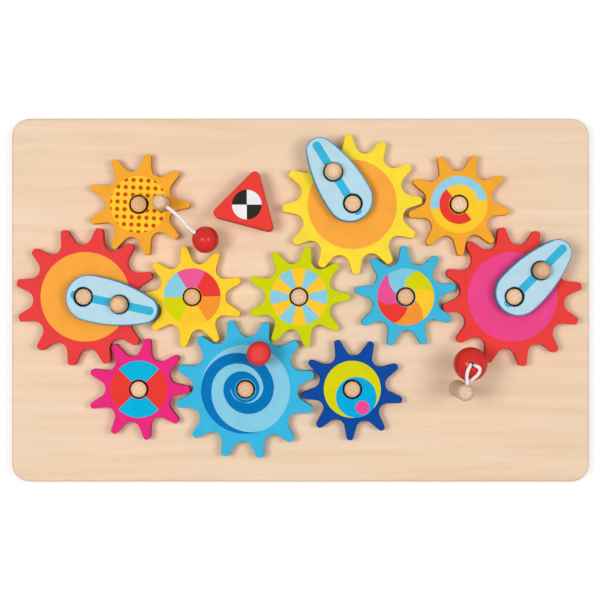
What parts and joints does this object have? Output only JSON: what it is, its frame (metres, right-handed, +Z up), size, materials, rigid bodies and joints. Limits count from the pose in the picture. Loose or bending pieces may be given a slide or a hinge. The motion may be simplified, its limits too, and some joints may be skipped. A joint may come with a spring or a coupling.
{
  "type": "wooden crank gear toy",
  "caption": "Wooden board with meshing painted gears on dowel axles, turned by crank plates with pegs, with red balls on cords.",
  "frame": {"origin": "middle of the board's underside", "axes": "+X along the board's long side, +Z up out of the board's face"},
  "size_m": [0.35, 0.22, 0.0498],
  "materials": {
    "board_ply": "clear matt varnish on pale birch plywood",
    "dowel": "bare sanded beech",
    "gear_red_orange_paint": "satin paint and print on plywood",
    "gear_orange_dots_paint": "satin paint and print on plywood",
    "gear_magenta_quarters_paint": "satin paint and print on plywood",
    "gear_yellow_pie_paint": "satin paint and print on plywood",
    "gear_blue_spiral_paint": "satin paint and print on plywood",
    "gear_lime_rays_paint": "satin paint and print on plywood",
    "gear_navy_discs_paint": "satin paint and print on plywood",
    "gear_yellow_orange_paint": "satin paint and print on plywood",
    "gear_blue_swirl_paint": "satin paint and print on plywood",
    "gear_orange_arcs_paint": "satin paint and print on plywood",
    "gear_red_pink_paint": "satin paint and print on plywood",
    "triangle_paint": "satin paint on plywood",
    "crank_paint": "satin paint on plywood",
    "knob_paint": "satin paint on turned wood",
    "cord": "white braided cotton",
    "ball_paint": "gloss lacquer on turned wood"
  },
  "bodies": {
    "base": {"board": "board_ply", "triangle_block": "triangle_paint", "axle_red_orange": "dowel", "axle_orange_dots": "dowel", "axle_magenta_quarters": "dowel", "axle_yellow_pie": "dowel", "axle_blue_spiral": "dowel", "axle_lime_rays": "dowel", "axle_navy_discs": "dowel", "axle_yellow_orange": "dowel", "axle_blue_swirl": "dowel", "axle_orange_arcs": "dowel", "axle_red_pink": "dowel"},
    "left_crank_gear": {"gear_red_orange": "gear_red_orange_paint", "crank_left": "crank_paint", "handle_left": "dowel"},
    "gear_orange_dots": {"gear_orange_dots": "gear_orange_dots_paint"},
    "gear_magenta_quarters": {"gear_magenta_quarters": "gear_magenta_quarters_paint"},
    "gear_yellow_pie": {"gear_yellow_pie": "gear_yellow_pie_paint"},
    "gear_blue_spiral": {"gear_blue_spiral": "gear_blue_spiral_paint", "knob": "knob_paint"},
    "gear_lime_rays": {"gear_lime_rays": "gear_lime_rays_paint"},
    "gear_navy_discs": {"gear_navy_discs": "gear_navy_discs_paint"},
    "top_crank_gear": {"gear_yellow_orange": "gear_yellow_orange_paint", "crank_top": "crank_paint", "handle_top": "dowel"},
    "gear_blue_swirl": {"gear_blue_swirl": "gear_blue_swirl_paint"},
    "gear_orange_arcs": {"gear_orange_arcs": "gear_orange_arcs_paint"},
    "right_crank_gear": {"gear_red_pink": "gear_red_pink_paint", "crank_right": "crank_paint", "handle_right": "dowel"},
    "tall_peg_and_ball": {"peg": "dowel", "peg_cord": "cord", "peg_ball": "ball_paint"},
    "tall_post_and_ball": {"post": "dowel", "post_cord": "cord", "post_ball": "ball_paint"}
  },
  "joints": [
    {"name": "left_crank_gear_spin", "type": "hinge", "parent": "base", "child": "left_crank_gear", "pos_m": [-0.129, 0.002, 0.0093], "axis": [0, 0, 1], "continuous": true},
    {"name": "gear_orange_dots_spin", "type": "hinge", "parent": "base", "child": "gear_orange_dots", "pos_m": [-0.097, 0.05743, 0.0093], "axis": [0, 0, 1], "continuous": true},
    {"name": "gear_magenta_quarters_spin", "type": "hinge", "parent": "base", "child": "gear_magenta_quarters", "pos_m": [-0.097, -0.05343, 0.0093], "axis": [0, 0, 1], "continuous": true},
    {"name": "gear_yellow_pie_spin", "type": "hinge", "parent": "base", "child": "gear_yellow_pie", "pos_m": [-0.065, 0.002, 0.0093], "axis": [0, 0, 1], "continuous": true},
    {"name": "gear_blue_spiral_spin", "type": "hinge", "parent": "base", "child": "gear_blue_spiral", "pos_m": [-0.033, -0.05343, 0.0093], "axis": [0, 0, 1], "continuous": true},
    {"name": "gear_lime_rays_spin", "type": "hinge", "parent": "base", "child": "gear_lime_rays", "pos_m": [-0.001, 0.002, 0.0093], "axis": [0, 0, 1], "continuous": true},
    {"name": "gear_navy_discs_spin", "type": "hinge", "parent": "base", "child": "gear_navy_discs", "pos_m": [0.031, -0.05343, 0.0093], "axis": [0, 0, 1], "continuous": true},
    {"name": "top_crank_gear_spin", "type": "hinge", "parent": "base", "child": "top_crank_gear", "pos_m": [0.031, 0.05743, 0.0093], "axis": [0, 0, 1], "continuous": true},
    {"name": "gear_blue_swirl_spin", "type": "hinge", "parent": "base", "child": "gear_blue_swirl", "pos_m": [0.063, 0.002, 0.0093], "axis": [0, 0, 1], "continuous": true},
    {"name": "gear_orange_arcs_spin", "type": "hinge", "parent": "base", "child": "gear_orange_arcs", "pos_m": [0.095, 0.05743, 0.0093], "axis": [0, 0, 1], "continuous": true},
    {"name": "right_crank_gear_spin", "type": "hinge", "parent": "base", "child": "right_crank_gear", "pos_m": [0.127, 0.002, 0.0093], "axis": [0, 0, 1], "continuous": true},
    {"name": "peg_turn", "type": "hinge", "parent": "gear_orange_dots", "child": "tall_peg_and_ball", "pos_m": [-0.0825, 0.05743, 0.012], "axis": [0, 0, 1], "continuous": true},
    {"name": "post_turn", "type": "hinge", "parent": "base", "child": "tall_post_and_ball", "pos_m": [0.095, -0.05343, 0.0023], "axis": [0, 0, 1], "range_deg": [-120, 120]}
  ],
  "couplings": [
    {"joint": "gear_orange_dots_spin", "follows": "left_crank_gear_spin", "ratio": -1.3333},
    {"joint": "gear_magenta_quarters_spin", "follows": "left_crank_gear_spin", "ratio": -1.3333},
    {"joint": "gear_yellow_pie_spin", "follows": "left_crank_gear_spin", "ratio": -1.3333},
    {"joint": "gear_blue_spiral_spin", "follows": "left_crank_gear_spin", "ratio": 1},
    {"joint": "gear_lime_rays_spin", "follows": "left_crank_gear_spin", "ratio": -1.3333},
    {"joint": "gear_navy_discs_spin", "follows": "left_crank_gear_spin", "ratio": -1.3333},
    {"joint": "top_crank_gear_spin", "follows": "left_crank_gear_spin", "ratio": 1},
    {"joint": "gear_blue_swirl_spin", "follows": "left_crank_gear_spin", "ratio": -1.3333},
    {"joint": "gear_orange_arcs_spin", "follows": "left_crank_gear_spin", "ratio": -1.3333},
    {"joint": "right_crank_gear_spin", "follows": "left_crank_gear_spin", "ratio": 1},
    {"joint": "peg_turn", "follows": "left_crank_gear_spin", "ratio": 1.3333}
  ]
}
